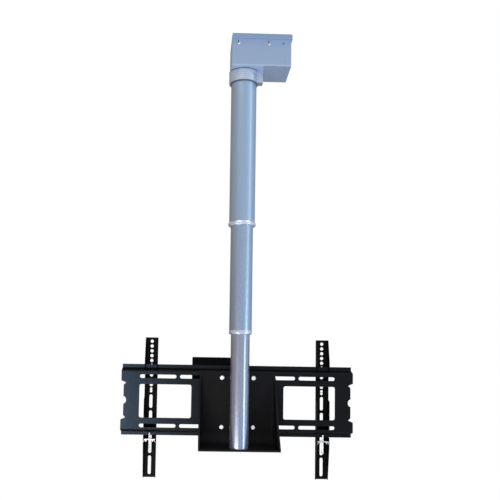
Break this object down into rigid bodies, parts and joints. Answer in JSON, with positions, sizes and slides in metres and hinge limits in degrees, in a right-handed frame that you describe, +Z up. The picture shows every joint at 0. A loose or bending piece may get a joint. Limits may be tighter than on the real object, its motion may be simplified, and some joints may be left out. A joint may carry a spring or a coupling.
{
  "type": "motorised ceiling mount for a television",
  "caption": "Ceiling box with a telescopic motor-driven column that lifts a shelf bracket, a slotted wall plate and two hook-on arms for a television.",
  "frame": {"origin": "on the ceiling face of the tray, at the axis of the column", "axes": "+Z up into the ceiling, +X along the wall plate towards the overhanging end of the head, +Y from the column towards the television"},
  "size_m": [0.7092, 0.1913, 1.323],
  "materials": {
    "grey_lacquer": "smooth blue-grey lacquer, semi-gloss",
    "grey_tray": "smooth blue-grey lacquer, semi-gloss",
    "anodised_tube": "fine satin anodised silver",
    "bright_ring": "turned and polished",
    "bright_collar": "turned, satin",
    "black_powder": "black powder coat, semi-gloss",
    "zinc_steel": "bright zinc plate",
    "machined_steel": "turned",
    "galvanised": "galvanised sheet",
    "cast_alloy": "as cast",
    "bronze": "turned bronze",
    "black_plastic": "fine moulded grain",
    "white_acetal": "machined acetal",
    "board_green": "solder mask",
    "terminal_green": "moulded",
    "foam_pad": "foam with adhesive"
  },
  "bodies": {
    "head": {"ceiling_tray": "grey_tray", "housing_shell": "grey_lacquer", "housing_pan": "grey_lacquer", "housing_screws": "zinc_steel", "support_frame": "galvanised", "frame_screws": "zinc_steel", "column_screws": "zinc_steel", "gearbox": "cast_alloy", "drive_motor": "machined_steel", "motor_end_cap": "black_plastic", "control_board": "board_green", "terminal_block": "terminal_green", "board_standoffs": "white_acetal", "cable_gland": "black_plastic", "top_collar": "bright_collar", "collar_screw": "zinc_steel", "upper_tube": "anodised_tube", "upper_end_ring": "bright_ring", "upper_guide_bush": "white_acetal", "bearing_carrier": "machined_steel", "carrier_screws": "zinc_steel", "spindle_bearing": "machined_steel"},
    "drive_spindle_set": {"drive_spindle": "machined_steel", "spindle_coupling": "machined_steel"},
    "middle_stage": {"middle_tube": "anodised_tube", "middle_end_ring": "bright_ring", "middle_guide_bush": "white_acetal", "middle_top_plug": "white_acetal", "middle_nut": "bronze", "middle_nut_screws": "zinc_steel", "stage_bearing": "machined_steel"},
    "hollow_spindle_set": {"hollow_spindle": "machined_steel", "hollow_spindle_ring": "machined_steel"},
    "lower_stage": {"lower_tube": "anodised_tube", "lower_top_plug": "white_acetal", "lower_nut": "bronze", "lower_nut_screws": "zinc_steel", "column_foot": "machined_steel", "foot_screws": "zinc_steel", "shelf_bracket": "black_powder", "bracket_bolts": "zinc_steel", "bracket_washers": "zinc_steel", "bracket_nuts": "zinc_steel", "wall_plate": "black_powder", "receiver_box": "black_plastic", "receiver_pads": "foam_pad"},
    "arm_set_left": {"arm_left": "black_powder", "safety_tab_left": "zinc_steel", "safety_screw_left": "zinc_steel"},
    "arm_set_right": {"arm_right": "black_powder", "safety_tab_right": "zinc_steel", "safety_screw_right": "zinc_steel"}
  },
  "joints": [
    {"name": "middle_slide", "type": "slide", "parent": "head", "child": "middle_stage", "axis": [0, 0, 1], "range_m": [0, 0.3]},
    {"name": "lower_slide", "type": "slide", "parent": "middle_stage", "child": "lower_stage", "axis": [0, 0, 1], "range_m": [0, 0.3]},
    {"name": "drive_spindle_turn", "type": "hinge", "parent": "head", "child": "drive_spindle_set", "pos_m": [0, 0, -0.05], "axis": [0, 0, 1], "range_deg": [0, 9001]},
    {"name": "hollow_spindle_turn", "type": "hinge", "parent": "middle_stage", "child": "hollow_spindle_set", "pos_m": [0, 0, -0.47], "axis": [0, 0, 1], "range_deg": [0, 9001]},
    {"name": "arm_left_slide", "type": "slide", "parent": "lower_stage", "child": "arm_set_left", "axis": [1, 0, 0], "range_m": [-0.062, 0.1]},
    {"name": "arm_right_slide", "type": "slide", "parent": "lower_stage", "child": "arm_set_right", "axis": [1, 0, 0], "range_m": [-0.168, 0.062]}
  ],
  "couplings": [
    {"joint": "lower_slide", "follows": "middle_slide", "ratio": 1},
    {"joint": "drive_spindle_turn", "follows": "middle_slide", "rad_per_m": 523.6},
    {"joint": "hollow_spindle_turn", "follows": "middle_slide", "rad_per_m": 523.6}
  ]
}
